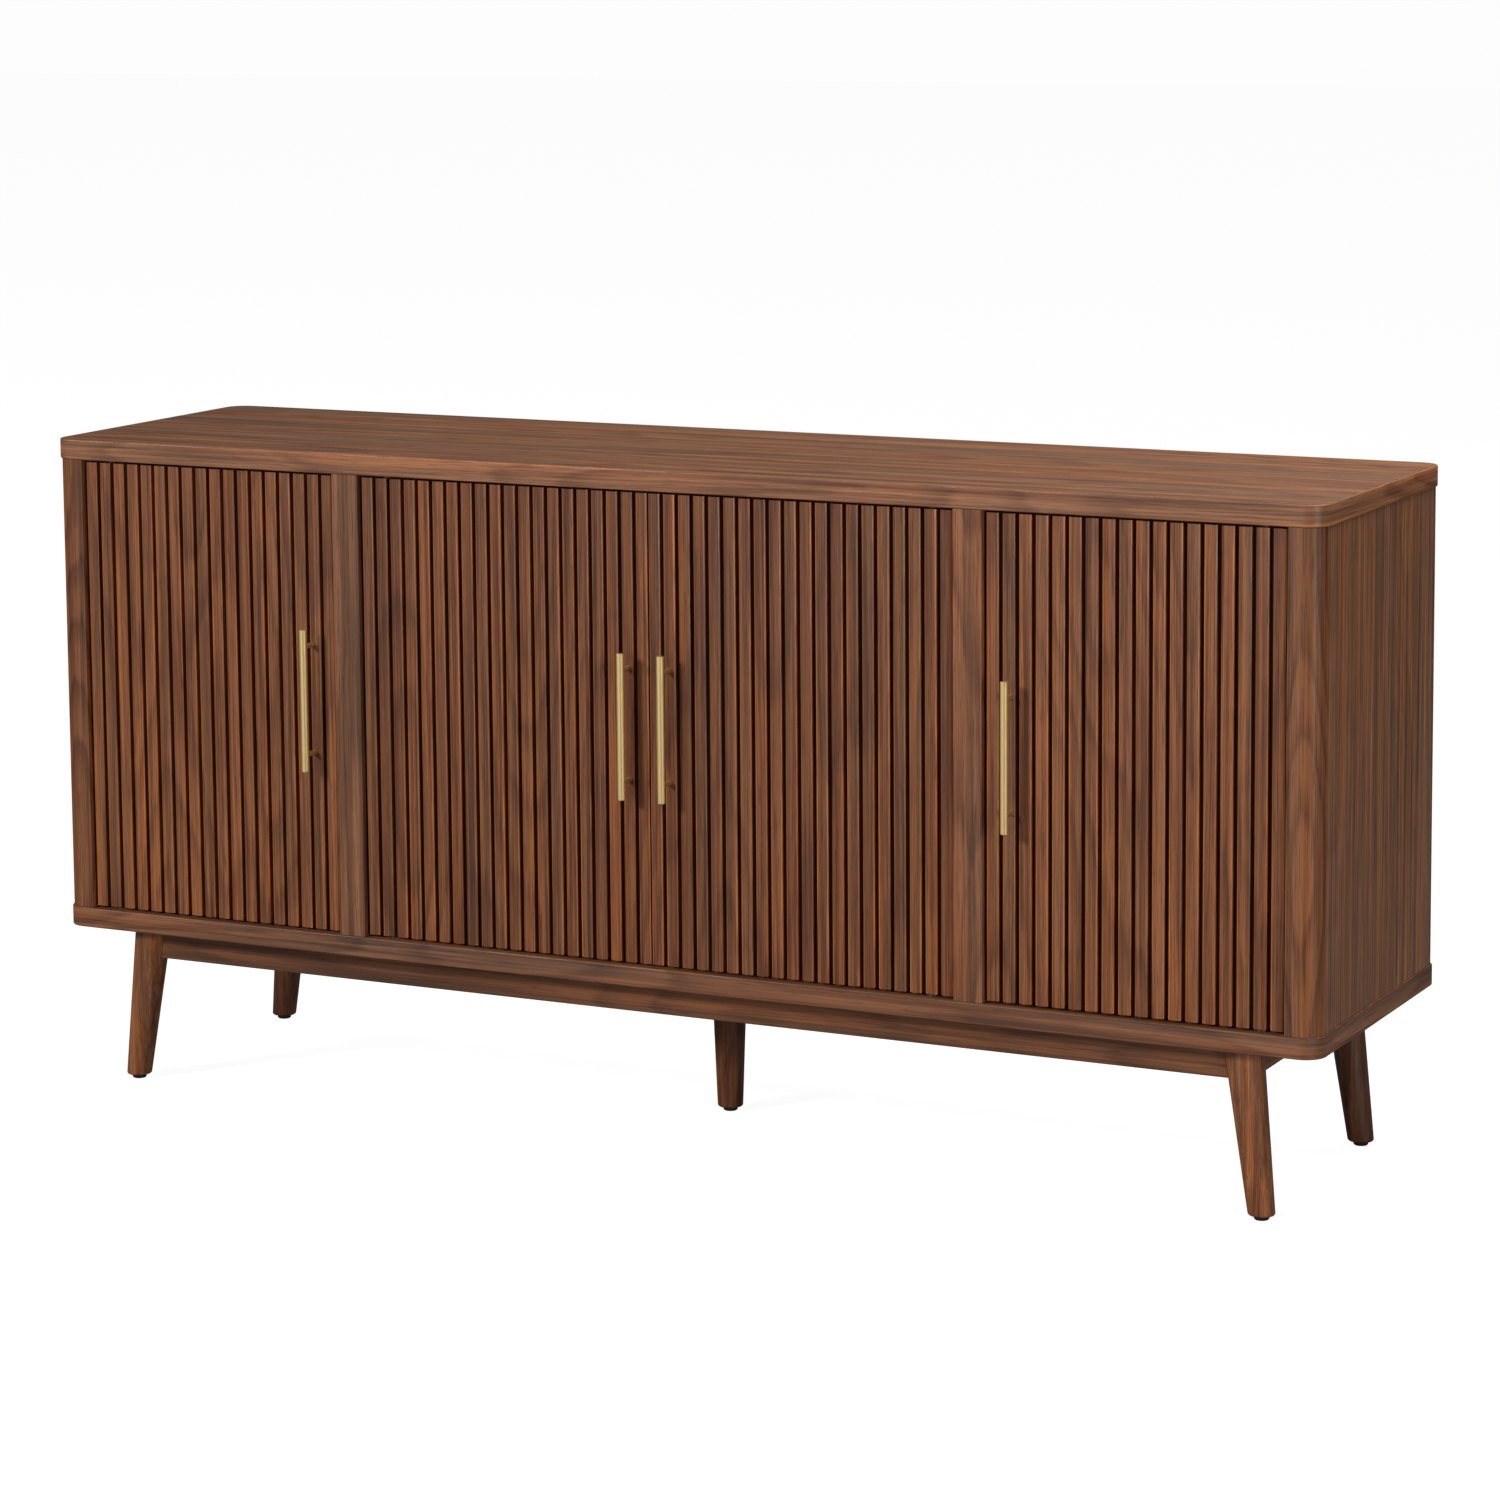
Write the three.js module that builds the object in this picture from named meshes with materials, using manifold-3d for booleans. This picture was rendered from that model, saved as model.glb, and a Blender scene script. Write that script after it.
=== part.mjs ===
// Mid-century sideboard buffet: a walnut case on splayed legs, with four slatted doors on pivot pins.
// Millimetres, +Z up, front faces -Y, origin on the floor below the middle of the whole outline.
import * as THREE from 'three';
import { mergeVertices } from 'three/addons/utils/BufferGeometryUtils.js';
import Module from 'manifold-3d';

const wasm = await Module();
wasm.setup();

// Case
const caseWidth = 1600; // over the top and base panels
const caseDepth = 406;
const caseHeight = 784; // floor to top face
const slab = 24; // thickness of the top and base panels
const slabCorner = 25; // plan radius of their corners
const slabEase = 1.5; // small bevel round their edges
const overhang = 2; // panels stand this far past the posts
const legHeight = 190; // floor to underside of the base panel
const handleReach = 18; // handles stand this far in front of the case

// Uprights
const postWidth = 38;
const postDepth = 24;
const postCorner = 23; // plan radius of the outer corner
const sideThickness = 18;
const dividerThickness = 34.5;
const dividerInner = 376.5; // from the middle of the case to a divider
const backThickness = 5;
const backInset = 8; // back panel behind the rear face of the posts
const shelfThickness = 16;
const shelfTop = 487;
const shelfSetback = 54; // shelf front edge behind the front of the case
const shelfClearance = 1;

// Doors
const recess = 5; // slat faces behind the post faces
const slatDepth = 7;
const facingSheet = 1; // sheet that the slats are glued to
const doorBoard = 14;
const doorSideGap = 3;
const doorEndGap = 3; // above and below each door
const seamGap = 2; // between the two middle doors
const slatGap = 5;
const slatEase = 1.2;
const outerSlats = 18;
const middleSlats = 20;

// Pivots
const pivotInset = 28; // axis from the hinge edge of the door
const pivotDepth = 12; // axis behind the slat faces
const pinRadius = 2.5;
const runningFit = 0.4;
const gluedFit = 0.3;
const washerRadius = 5.5;
const washerThickness = 1.6;
const pinInDoor = 25;
const pinInBush = 10;
const bushRadius = 5;
const bushLength = 10;
const bushFlangeRadius = 7;
const bushFlange = 1;

// Handles
const barRadius = 4.5;
const barLength = 168;
const barStandoff = 20.5; // bar axis in front of the slat faces
const stubRadius = 3;
const stubSpacing = 128;
const handleRise = 5.5; // middle of the bar above the middle of the door
const outerHandleShift = 3.5; // bars sit this far from the middle of the second slat
const middleHandleShift = -1.4;

// Catches
const catchWidth = 40;
const doubleCatchWidth = 84;
const catchDepth = 16;
const catchHeight = 12;
const catchInset = 30; // from the free edge of the door
const catchGap = 0.3;

// Under frame
const apronHeight = 37.5;
const apronThickness = 20;
const apronX = 711.5; // outer faces from the middle of the case
const apronY = 168.5;
const legTopX = 700;
const legTopY = 160;
const splayX = 24; // foot further out than the top
const splayY = 5;
const legTopRadius = 22;
const legFootRadius = 15;
const legFootEase = 2.5;
const glideHeight = 5;
const glideRadius = 8.5;
const glideEase = 0.8;
const jointFit = 0.3; // aprons to the round legs
const braceWidth = 60;
const braceHeight = 22;

// Planes that follow from the sizes above
const front = handleReach - (caseDepth + handleReach) / 2;
const back = front + caseDepth;
const middleY = (front + back) / 2;
const halfWidth = caseWidth / 2;
const baseTop = legHeight + slab;
const topUnderside = caseHeight - slab;
const postFront = front + overhang;
const postBack = back - overhang;
const postOuter = halfWidth - overhang;
const postInner = postOuter - postWidth;
const dividerOuter = dividerInner + dividerThickness;
const slatFace = postFront + recess;
const facingBack = slatFace + slatDepth + facingSheet;
const boardBack = facingBack + doorBoard;
const doorBottom = baseTop + doorEndGap;
const doorTop = topUnderside - doorEndGap;
const doorHeight = doorTop - doorBottom;
const pivotY = slatFace + pivotDepth;
const backFace = postBack - backInset;
const backFront = backFace - backThickness;
const roundSegments = 16;
const legSegments = 24;

const walnut = { color: 0x6f4731, roughness: 0.5, metalness: 0 };
const darkWalnut = { color: 0x553626, roughness: 0.55, metalness: 0 };
const brass = { color: 0xb8975a, roughness: 0.32, metalness: 1 };
const steel = { color: 0x9a9a98, roughness: 0.35, metalness: 1 };
const plastic = { color: 0x151515, roughness: 0.6, metalness: 0 };

const sideboard = new THREE.Group();

function addPart(name, geometry, finish) {
  const mesh = new THREE.Mesh(geometry, new THREE.MeshStandardMaterial(finish));
  mesh.name = name;
  sideboard.add(mesh);
}

function block(x0, x1, y0, y1, z0, z1) {
  const geometry = new THREE.BoxGeometry(Math.abs(x1 - x0), Math.abs(y1 - y0), Math.abs(z1 - z0));
  return geometry.translate((x0 + x1) / 2, (y0 + y1) / 2, (z0 + z1) / 2);
}

function toSolid(geometry) {
  const bare = geometry.clone();
  bare.deleteAttribute('normal');
  bare.deleteAttribute('uv');
  const merged = mergeVertices(bare, 1e-4);
  const vertProperties = new Float32Array(merged.attributes.position.array);
  const triVerts = new Uint32Array(merged.index.array);
  return new wasm.Manifold(new wasm.Mesh({ numProp: 3, vertProperties, triVerts }));
}

function toGeometry(solid) {
  const mesh = solid.getMesh();
  const geometry = new THREE.BufferGeometry();
  geometry.setAttribute('position', new THREE.BufferAttribute(mesh.vertProperties, 3));
  geometry.setIndex(new THREE.BufferAttribute(mesh.triVerts, 1));
  geometry.computeVertexNormals();
  return geometry;
}

function cut(geometry, cutters) {
  return toGeometry(cutters.reduce((solid, cutter) => solid.subtract(toSolid(cutter)), toSolid(geometry)));
}

function join(geometry, others) {
  return toGeometry(others.reduce((solid, other) => solid.add(toSolid(other)), toSolid(geometry)));
}

// A piece turned about the vertical line through x, y, from [radius, height] points
function turned(profile, x, y, segments) {
  const points = profile.map(([radius, height]) => new THREE.Vector2(radius, height));
  return new THREE.LatheGeometry(points, segments).rotateX(Math.PI / 2).translate(x, y, 0);
}

function rod(radius, x, y, z0, z1) {
  return turned([[0, z0], [radius, z0], [radius, z1], [0, z1]], x, y, roundSegments);
}

function rise(shape, z0, z1) {
  const geometry = new THREE.ExtrudeGeometry(shape, { depth: z1 - z0, bevelEnabled: false, curveSegments: 10 });
  return geometry.translate(0, 0, z0);
}

// Each door: which side it hangs on, its opening and how many slats it has
const doors = [
  { name: 'left_door', hinge: -1, from: -postInner, to: -dividerOuter, slats: outerSlats, seam: doorSideGap },
  { name: 'middle_left_door', hinge: -1, from: -dividerInner, to: 0, slats: middleSlats, seam: seamGap / 2 },
  { name: 'middle_right_door', hinge: 1, from: dividerInner, to: 0, slats: middleSlats, seam: seamGap / 2 },
  { name: 'right_door', hinge: 1, from: postInner, to: dividerOuter, slats: outerSlats, seam: doorSideGap },
];
for (const door of doors) {
  door.hingeEdge = door.from - door.hinge * doorSideGap;
  door.freeEdge = door.to + door.hinge * door.seam;
  door.width = Math.abs(door.freeEdge - door.hingeEdge);
  door.slatWidth = (door.width - (door.slats - 1) * slatGap) / door.slats;
  door.pivotX = door.hingeEdge - door.hinge * pivotInset;
  const handleShift = door.slats === outerSlats ? outerHandleShift : middleHandleShift;
  door.handleX = door.freeEdge + door.hinge * (door.slatWidth * 1.5 + slatGap + handleShift);
}

// Top and base panels: rounded slabs, bored for the pivot bushes
function slabShape() {
  const x = halfWidth - slabEase;
  const y0 = front + slabEase;
  const y1 = back - slabEase;
  const r = slabCorner - slabEase;
  const shape = new THREE.Shape();
  shape.moveTo(-x + r, y0);
  shape.lineTo(x - r, y0);
  shape.absarc(x - r, y0 + r, r, -Math.PI / 2, 0, false);
  shape.lineTo(x, y1 - r);
  shape.absarc(x - r, y1 - r, r, 0, Math.PI / 2, false);
  shape.lineTo(-x + r, y1);
  shape.absarc(-x + r, y1 - r, r, Math.PI / 2, Math.PI, false);
  shape.lineTo(-x, y0 + r);
  shape.absarc(-x + r, y0 + r, r, Math.PI, Math.PI * 1.5, false);
  return shape;
}

function panel(z0, boreFrom, boreTo) {
  const geometry = new THREE.ExtrudeGeometry(slabShape(), {
    depth: slab - 2 * slabEase,
    bevelEnabled: true,
    bevelSize: slabEase,
    bevelThickness: slabEase,
    bevelSegments: 1,
    curveSegments: 10,
  });
  geometry.translate(0, 0, z0 + slabEase);
  return cut(geometry, doors.map((door) => rod(bushRadius + gluedFit, door.pivotX, pivotY, boreFrom, boreTo)));
}

const boreDepth = bushLength + 2;
addPart('top_panel', panel(topUnderside, topUnderside - 1, topUnderside + boreDepth), walnut);
addPart('base_panel', panel(legHeight, baseTop - boreDepth, baseTop + 1), walnut);

// Corner posts, side panels, dividers, back and shelves
function postShape(sideX, sideY) {
  const faceY = sideY < 0 ? postFront : postBack;
  const innerY = faceY - sideY * postDepth;
  const outerX = sideX * postOuter;
  const arcX = sideX * (postOuter - postCorner);
  const arcY = faceY - sideY * postCorner;
  const shape = new THREE.Shape();
  shape.moveTo(sideX * postInner, faceY);
  shape.lineTo(sideX * postInner, innerY);
  shape.lineTo(outerX, innerY);
  shape.lineTo(outerX, arcY);
  shape.absarc(arcX, arcY, postCorner, sideX < 0 ? Math.PI : 0, (sideY * Math.PI) / 2, sideX * sideY < 0);
  return shape;
}

for (const [side, sideX] of [['left', -1], ['right', 1]]) {
  for (const [end, sideY] of [['front', -1], ['rear', 1]]) {
    addPart(`${side}_${end}_post`, rise(postShape(sideX, sideY), baseTop, topUnderside), walnut);
  }
  const inner = sideX * (postOuter - sideThickness);
  const panelFront = postFront + postDepth;
  const panelBack = postBack - postDepth;
  const wall = block(inner, sideX * postOuter, panelFront, panelBack, baseTop, topUnderside);
  addPart(`${side}_side_panel`, wall, walnut);
  const divider = block(sideX * dividerInner, sideX * dividerOuter, postFront, backFront, baseTop, topUnderside);
  addPart(`${side}_divider`, divider, walnut);
}

addPart('back_panel', block(-postInner, postInner, backFront, backFace, baseTop, topUnderside), darkWalnut);

const outerBay = [postOuter - sideThickness - shelfClearance, dividerOuter + shelfClearance];
const shelfSpans = [
  ['left_shelf', -outerBay[0], -outerBay[1]],
  ['middle_shelf', -dividerInner + shelfClearance, dividerInner - shelfClearance],
  ['right_shelf', outerBay[1], outerBay[0]],
];
for (const [name, x0, x1] of shelfSpans) {
  const shelfBack = postBack - postDepth - shelfClearance;
  addPart(name, block(x0, x1, front + shelfSetback, shelfBack, shelfTop - shelfThickness, shelfTop), walnut);
}

// Magnetic catches under the top panel, behind the free edges of the doors
function catchBlock(centre, width) {
  const y0 = boardBack + catchGap;
  return block(centre - width / 2, centre + width / 2, y0, y0 + catchDepth, topUnderside - catchHeight, topUnderside);
}

const outerCatch = Math.abs(doors[0].freeEdge) + catchInset + catchWidth / 2;
addPart('left_catch', catchBlock(-outerCatch, catchWidth), plastic);
addPart('middle_catch', catchBlock(0, doubleCatchWidth), plastic);
addPart('right_catch', catchBlock(outerCatch, catchWidth), plastic);

// Doors: board, slatted facing, bar handle, and a pin and a bush at each end
function facingShape(door) {
  const inward = -door.hinge;
  const groove = slatFace + slatDepth;
  const shape = new THREE.Shape();
  shape.moveTo(door.hingeEdge, facingBack);
  for (let i = 0; i < door.slats; i += 1) {
    const a = door.hingeEdge + inward * i * (door.slatWidth + slatGap);
    const b = a + inward * door.slatWidth;
    if (i > 0) shape.lineTo(a, groove);
    shape.lineTo(a, slatFace + slatEase);
    shape.lineTo(a + inward * slatEase, slatFace);
    shape.lineTo(b - inward * slatEase, slatFace);
    shape.lineTo(b, slatFace + slatEase);
    if (i < door.slats - 1) shape.lineTo(b, groove);
  }
  shape.lineTo(door.freeEdge, facingBack);
  return shape;
}

function handle(door) {
  const barY = slatFace - barStandoff;
  const middle = (doorBottom + doorTop) / 2 + handleRise;
  const ends = [middle - barLength / 2, middle + barLength / 2];
  const ease = 0.6;
  const profile = [
    [0, ends[0]],
    [barRadius - ease, ends[0]],
    [barRadius, ends[0] + ease],
    [barRadius, ends[1] - ease],
    [barRadius - ease, ends[1]],
    [0, ends[1]],
  ];
  const stubs = [-1, 1].map((end) => {
    const stub = new THREE.CylinderGeometry(stubRadius, stubRadius, barStandoff, roundSegments);
    return stub.translate(door.handleX, (barY + slatFace) / 2, middle + (end * stubSpacing) / 2);
  });
  return join(turned(profile, door.handleX, barY, roundSegments), stubs);
}

// Pin: a shank in the door, a washer on the door's edge, a journal in the bush
function pin(door, end) {
  const edge = end > 0 ? doorTop : doorBottom;
  const profile = [
    [0, edge - end * pinInDoor],
    [pinRadius, edge - end * pinInDoor],
    [pinRadius, edge],
    [washerRadius, edge],
    [washerRadius, edge + end * washerThickness],
    [pinRadius, edge + end * washerThickness],
    [pinRadius, edge + end * (doorEndGap + pinInBush - 1)],
    [0, edge + end * (doorEndGap + pinInBush - 1)],
  ];
  return turned(end > 0 ? profile : profile.reverse(), door.pivotX, pivotY, roundSegments);
}

// Bush: a flanged sleeve let into the top or base panel
function bush(door, end) {
  const face = end > 0 ? topUnderside : baseTop;
  const bore = pinRadius + runningFit;
  const profile = [
    [bore, face - end * bushFlange],
    [bushFlangeRadius, face - end * bushFlange],
    [bushFlangeRadius, face],
    [bushRadius, face],
    [bushRadius, face + end * bushLength],
    [bore, face + end * bushLength],
    [bore, face - end * bushFlange],
  ];
  return turned(end > 0 ? profile : profile.reverse(), door.pivotX, pivotY, roundSegments);
}

for (const door of doors) {
  const board = block(door.hingeEdge, door.freeEdge, facingBack, boardBack, doorBottom, doorTop);
  const bores = [
    rod(pinRadius + gluedFit, door.pivotX, pivotY, doorBottom - 1, doorBottom + pinInDoor + 1),
    rod(pinRadius + gluedFit, door.pivotX, pivotY, doorTop - pinInDoor - 1, doorTop + 1),
  ];
  addPart(`${door.name}_board`, cut(board, bores), darkWalnut);
  addPart(`${door.name}_slats`, rise(facingShape(door), doorBottom, doorTop), walnut);
  addPart(`${door.name}_handle`, handle(door), brass);
  for (const [label, end] of [['lower', -1], ['upper', 1]]) {
    addPart(`${door.name}_${label}_pin`, pin(door, end), steel);
    addPart(`${door.name}_${label}_bush`, bush(door, end), steel);
  }
}

// Legs: turned and tapered, leaned out by a shear so that both ends stay level
function leg(topX, topY, leanX, leanY, top, grow) {
  const taper = (legTopRadius - legFootRadius) / (legHeight - glideHeight);
  const topRadius = legFootRadius + taper * (top - glideHeight);
  const profile = [
    [0, glideHeight],
    [legFootRadius - legFootEase + grow, glideHeight],
    [legFootRadius + grow, glideHeight + legFootEase],
    [topRadius + grow, top],
    [0, top],
  ];
  const geometry = turned(profile, 0, 0, legSegments);
  const lean = new THREE.Matrix4().set(
    1, 0, -leanX / legHeight, leanX,
    0, 1, -leanY / legHeight, leanY,
    0, 0, 1, 0,
    0, 0, 0, 1,
  );
  return geometry.applyMatrix4(lean).translate(topX, topY, 0);
}

function glide(x, y) {
  const profile = [
    [0, 0],
    [glideRadius - glideEase, 0],
    [glideRadius, glideEase],
    [glideRadius, glideHeight],
    [0, glideHeight],
  ];
  return turned(profile, x, y, roundSegments);
}

const corners = [];
for (const [side, sideX] of [['left', -1], ['right', 1]]) {
  for (const [end, sideY] of [['front', -1], ['rear', 1]]) {
    const topX = sideX * legTopX;
    const topY = middleY + sideY * legTopY;
    const args = [topX, topY, sideX * splayX, sideY * splayY, legHeight];
    const footX = topX + sideX * splayX * (1 - glideHeight / legHeight);
    const footY = topY + sideY * splayY * (1 - glideHeight / legHeight);
    corners.push(leg(...args, jointFit));
    addPart(`${side}_${end}_leg`, leg(...args, 0), walnut);
    addPart(`${side}_${end}_glide`, glide(footX, footY), plastic);
  }
}
addPart('middle_leg', leg(0, middleY, 0, 0, legHeight - braceHeight, 0), walnut);
addPart('middle_glide', glide(0, middleY), plastic);

// Aprons run from leg to leg, and a brace ties them and carries the middle leg
for (const [end, sideY] of [['front', -1], ['rear', 1]]) {
  const outer = middleY + sideY * apronY;
  const rail = block(-legTopX, legTopX, outer, outer - sideY * apronThickness, legHeight - apronHeight, legHeight);
  addPart(`${end}_apron`, cut(rail, corners), walnut);
}
for (const [side, sideX] of [['left', -1], ['right', 1]]) {
  const outer = sideX * apronX;
  const y0 = middleY - legTopY;
  const rail = block(outer, outer - sideX * apronThickness, y0, middleY + legTopY, legHeight - apronHeight, legHeight);
  addPart(`${side}_apron`, cut(rail, corners), walnut);
}
const braceEnd = apronY - apronThickness;
const brace = [-braceWidth / 2, braceWidth / 2, middleY - braceEnd, middleY + braceEnd];
addPart('middle_brace', block(...brace, legHeight - braceHeight, legHeight), walnut);

export default sideboard;
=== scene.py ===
import math
import random

import bmesh
import bpy
from mathutils import Matrix, Vector


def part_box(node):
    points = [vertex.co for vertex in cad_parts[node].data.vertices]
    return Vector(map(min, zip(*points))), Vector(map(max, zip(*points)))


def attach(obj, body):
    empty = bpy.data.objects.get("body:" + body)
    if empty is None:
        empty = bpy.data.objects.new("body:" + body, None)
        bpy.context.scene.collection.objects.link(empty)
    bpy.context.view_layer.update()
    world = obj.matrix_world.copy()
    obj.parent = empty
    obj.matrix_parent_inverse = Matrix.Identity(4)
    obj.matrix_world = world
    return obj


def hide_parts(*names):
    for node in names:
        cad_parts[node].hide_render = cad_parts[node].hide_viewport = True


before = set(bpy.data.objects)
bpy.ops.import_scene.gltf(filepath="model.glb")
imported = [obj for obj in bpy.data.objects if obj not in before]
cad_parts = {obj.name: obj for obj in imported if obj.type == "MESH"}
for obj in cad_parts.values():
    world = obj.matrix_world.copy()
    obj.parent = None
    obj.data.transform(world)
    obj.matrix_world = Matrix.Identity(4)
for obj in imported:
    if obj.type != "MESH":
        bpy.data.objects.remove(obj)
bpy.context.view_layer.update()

scene = bpy.context.scene
rng = random.Random(7)


# Camera

cameraLook = {
    "place": (2.3507, -4.6555, 1.4003),
    "turn": 26.433,  # degrees round Z, from looking along +Y
    "tilt": 82.643,
    "roll": -0.446,
    "lens": 108.88,
    "shiftY": -0.1667,
}


def makeCamera(look):
    data = bpy.data.cameras.new("camera")
    data.lens = look["lens"]
    data.sensor_width = 36
    data.shift_y = look["shiftY"]
    camera = bpy.data.objects.new("camera", data)
    turn = Matrix.Rotation(math.radians(look["turn"]), 4, "Z")
    tilt = Matrix.Rotation(math.radians(look["tilt"]), 4, "X")
    roll = Matrix.Rotation(math.radians(look["roll"]), 4, "Z")
    camera.matrix_world = Matrix.Translation(look["place"]) @ turn @ tilt @ roll
    scene.collection.objects.link(camera)
    scene.camera = camera


makeCamera(cameraLook)
print("camera ready")


# Node helpers

def addNode(tree, kind, inputs=None, **settings):
    made = tree.nodes.new(kind)
    for key, value in settings.items():
        setattr(made, key, value)
    for key, value in (inputs or {}).items():
        if isinstance(value, bpy.types.NodeSocket):
            tree.links.new(value, made.inputs[key])
        else:
            made.inputs[key].default_value = value
    return made


def maths(tree, operation, *values):
    return addNode(tree, "ShaderNodeMath", dict(enumerate(values)), operation=operation).outputs[0]


def vectorMaths(tree, operation, *values):
    inputs = dict(enumerate(values))
    return addNode(tree, "ShaderNodeVectorMath", inputs, operation=operation).outputs[0]


def ramp(tree, factor, stops):
    made = addNode(tree, "ShaderNodeValToRGB", {"Fac": factor})
    elements = made.color_ramp.elements
    while len(elements) < len(stops):
        elements.new(0.5)
    for element, (position, colour) in zip(elements, stops):
        element.position = position
        element.color = (colour,) * 3 + (1,) if isinstance(colour, float) else (*colour, 1)
    return made.outputs["Color"]


def remap(tree, value, fromLow, fromHigh, toLow, toHigh):
    inputs = {
        "Value": value,
        "From Min": fromLow,
        "From Max": fromHigh,
        "To Min": toLow,
        "To Max": toHigh,
    }
    return addNode(tree, "ShaderNodeMapRange", inputs).outputs[0]


def mixColours(tree, factor, a, b):
    inputs = {"Factor": factor, 6: a, 7: b}
    return addNode(tree, "ShaderNodeMix", inputs, data_type="RGBA").outputs[2]


def newMaterial(name):
    material = bpy.data.materials.new(name)
    material.use_nodes = True
    tree = material.node_tree
    tree.nodes.clear()
    shader = addNode(tree, "ShaderNodeBsdfPrincipled")
    addNode(tree, "ShaderNodeOutputMaterial", {"Surface": shader.outputs[0]})
    return material, tree, shader


def finishSurface(tree, shader, material, roughness, relief, look):
    inputs = {"Strength": look["bumpStrength"], "Distance": look["bump"], "Height": relief}
    bump = addNode(tree, "ShaderNodeBump", inputs)
    tree.links.new(roughness, shader.inputs["Roughness"])
    tree.links.new(bump.outputs[0], shader.inputs["Normal"])
    return material


# Walnut

walnutLook = {
    "grain": "Z",
    "uv": None,
    "warm": [
        (0.16, (0.070, 0.018, 0.0052)),
        (0.5, (0.276, 0.084, 0.0245)),
        (0.84, (0.560, 0.200, 0.066)),
    ],
    "cool": [
        (0.16, (0.046, 0.019, 0.010)),
        (0.5, (0.170, 0.070, 0.031)),
        (0.84, (0.350, 0.160, 0.080)),
    ],
    "tint": (1.0, 1.0, 1.0),
    "sway": (5.0, 1.1),  # waves per metre across and along the grain
    "swayBy": 0.012,
    "figure": (9.0, 1.3),
    "matched": False,  # figure runs on from board to board
    "rings": 13.0,
    "heart": (28.0, 1.0),  # broad stripes that are warmer or greyer
    "streak": (95.0, 1.2),
    "fibre": (430.0, 4.5),
    "pore": (1500.0, 26.0),
    "streakDetail": (4.0, 0.62),  # octaves and roughness
    "fibreDetail": (3.0, 0.65),
    "ringStops": [(0.0, 0.62), (0.45, 0.55), (0.84, 0.15), (1.0, 0.62)],
    "ringRagged": 0.7,  # how far the streaks roughen the rings
    "heartRange": (0.32, 0.68),
    "streakRange": (0.3, 0.7),
    "fibreRange": (0.28, 0.72),
    "poreRange": (0.38, 0.30),
    "poreShade": 0.5,
    "poreDepth": 0.5,
    "poreRelief": -0.8,
    "ringShare": 0.36,
    "streakShare": 0.44,
    "fibreShare": 0.36,
    "boardTone": 0.0,  # how far boards differ from each other
    "boardWarmth": 0.0,
    "boardShift": (3.7, 5.3, 9.1),  # moves each board to its own stretch of grain
    "toneSeed": 7.31,
    "warmthSeed": 13.7,
    "roughness": 0.44,
    "roughnessSpread": 0.12,
    "bump": 0.00012,
    "bumpStrength": 0.6,
}


def tinted(stops, tint):
    return [(at, tuple(c * t for c, t in zip(shade, tint))) for at, shade in stops]


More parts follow.
